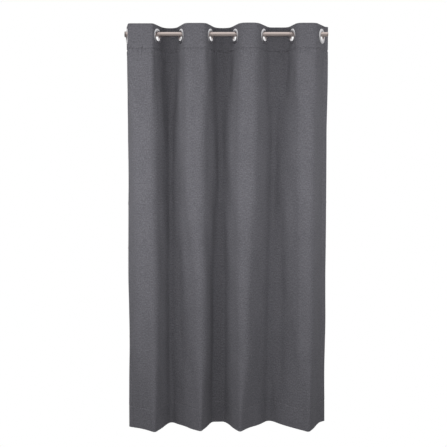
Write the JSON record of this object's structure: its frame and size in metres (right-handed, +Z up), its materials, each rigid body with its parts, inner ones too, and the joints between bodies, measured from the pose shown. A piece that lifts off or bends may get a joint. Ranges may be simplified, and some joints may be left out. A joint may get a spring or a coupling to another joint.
{
  "type": "fabric curtain panel",
  "caption": "Charcoal blackout curtain panel with metal eyelets threaded on a slim round rod, hanging in deep vertical folds.",
  "frame": {"origin": "on the rod's axis, at the middle of the rod's length", "axes": "+X along the rod to the viewer's right, +Z up, -Y towards the room"},
  "size_m": [0.8936, 0.1278, 1.8],
  "materials": {
    "charcoal_cloth": "matt charcoal blackout weave with a faint heather",
    "stiffener": "stiff non-woven band inside the header",
    "eyelet_metal": "bright satin chrome",
    "rod_metal": "brushed nickel, warm",
    "cap_metal": "satin nickel"
  },
  "bodies": {
    "rod": {"rod_tube": "rod_metal", "rod_end_cap_left": "cap_metal", "rod_end_cap_right": "cap_metal"},
    "fold_1": {"cloth_fold_1": "charcoal_cloth", "header_facing_1": "charcoal_cloth", "header_stiffener_1": "stiffener", "bottom_hem_1": "charcoal_cloth", "eyelet_1_front_ring": "eyelet_metal", "eyelet_1_back_ring": "eyelet_metal", "side_hem_left": "charcoal_cloth"},
    "fold_2": {"cloth_fold_2": "charcoal_cloth", "header_facing_2": "charcoal_cloth", "header_stiffener_2": "stiffener", "bottom_hem_2": "charcoal_cloth", "eyelet_2_front_ring": "eyelet_metal", "eyelet_2_back_ring": "eyelet_metal"},
    "fold_3": {"cloth_fold_3": "charcoal_cloth", "header_facing_3": "charcoal_cloth", "header_stiffener_3": "stiffener", "bottom_hem_3": "charcoal_cloth", "eyelet_3_front_ring": "eyelet_metal", "eyelet_3_back_ring": "eyelet_metal"},
    "fold_4": {"cloth_fold_4": "charcoal_cloth", "header_facing_4": "charcoal_cloth", "header_stiffener_4": "stiffener", "bottom_hem_4": "charcoal_cloth", "eyelet_4_front_ring": "eyelet_metal", "eyelet_4_back_ring": "eyelet_metal"},
    "fold_5": {"cloth_fold_5": "charcoal_cloth", "header_facing_5": "charcoal_cloth", "header_stiffener_5": "stiffener", "bottom_hem_5": "charcoal_cloth", "eyelet_5_front_ring": "eyelet_metal", "eyelet_5_back_ring": "eyelet_metal"},
    "fold_6": {"cloth_fold_6": "charcoal_cloth", "header_facing_6": "charcoal_cloth", "header_stiffener_6": "stiffener", "bottom_hem_6": "charcoal_cloth", "eyelet_6_front_ring": "eyelet_metal", "eyelet_6_back_ring": "eyelet_metal"},
    "fold_7": {"cloth_fold_7": "charcoal_cloth", "header_facing_7": "charcoal_cloth", "header_stiffener_7": "stiffener", "bottom_hem_7": "charcoal_cloth", "eyelet_7_front_ring": "eyelet_metal", "eyelet_7_back_ring": "eyelet_metal"},
    "fold_8": {"cloth_fold_8": "charcoal_cloth", "header_facing_8": "charcoal_cloth", "header_stiffener_8": "stiffener", "bottom_hem_8": "charcoal_cloth", "eyelet_8_front_ring": "eyelet_metal", "eyelet_8_back_ring": "eyelet_metal", "side_hem_right": "charcoal_cloth"}
  },
  "joints": [
    {"name": "draw", "type": "hinge", "parent": "rod", "child": "fold_1", "pos_m": [-0.43327, 0, 0], "axis": [0, 0, -1], "range_deg": [0, 24]},
    {"name": "crease_1", "type": "hinge", "parent": "fold_1", "child": "fold_2", "pos_m": [-0.36864, -0.03895, 0], "axis": [0, 0, 1], "range_deg": [0, 48]},
    {"name": "crease_2", "type": "hinge", "parent": "fold_2", "child": "fold_3", "pos_m": [-0.25111, 0.06674, 0], "axis": [0, 0, -1], "range_deg": [0, 48]},
    {"name": "crease_3", "type": "hinge", "parent": "fold_3", "child": "fold_4", "pos_m": [-0.13434, -0.04772, 0], "axis": [0, 0, 1], "range_deg": [0, 48]},
    {"name": "crease_4", "type": "hinge", "parent": "fold_4", "child": "fold_5", "pos_m": [-0.01528, 0.06333, 0], "axis": [0, 0, -1], "range_deg": [0, 48]},
    {"name": "crease_5", "type": "hinge", "parent": "fold_5", "child": "fold_6", "pos_m": [0.10231, -0.05465, 0], "axis": [0, 0, 1], "range_deg": [0, 48]},
    {"name": "crease_6", "type": "hinge", "parent": "fold_6", "child": "fold_7", "pos_m": [0.22801, 0.04893, 0], "axis": [0, 0, -1], "range_deg": [0, 48]},
    {"name": "crease_7", "type": "hinge", "parent": "fold_7", "child": "fold_8", "pos_m": [0.35465, -0.05047, 0], "axis": [0, 0, 1], "range_deg": [0, 48]}
  ],
  "couplings": [
    {"joint": "crease_1", "follows": "draw", "ratio": 2},
    {"joint": "crease_2", "follows": "draw", "ratio": 2},
    {"joint": "crease_3", "follows": "draw", "ratio": 2},
    {"joint": "crease_4", "follows": "draw", "ratio": 2},
    {"joint": "crease_5", "follows": "draw", "ratio": 2},
    {"joint": "crease_6", "follows": "draw", "ratio": 2},
    {"joint": "crease_7", "follows": "draw", "ratio": 2}
  ]
}
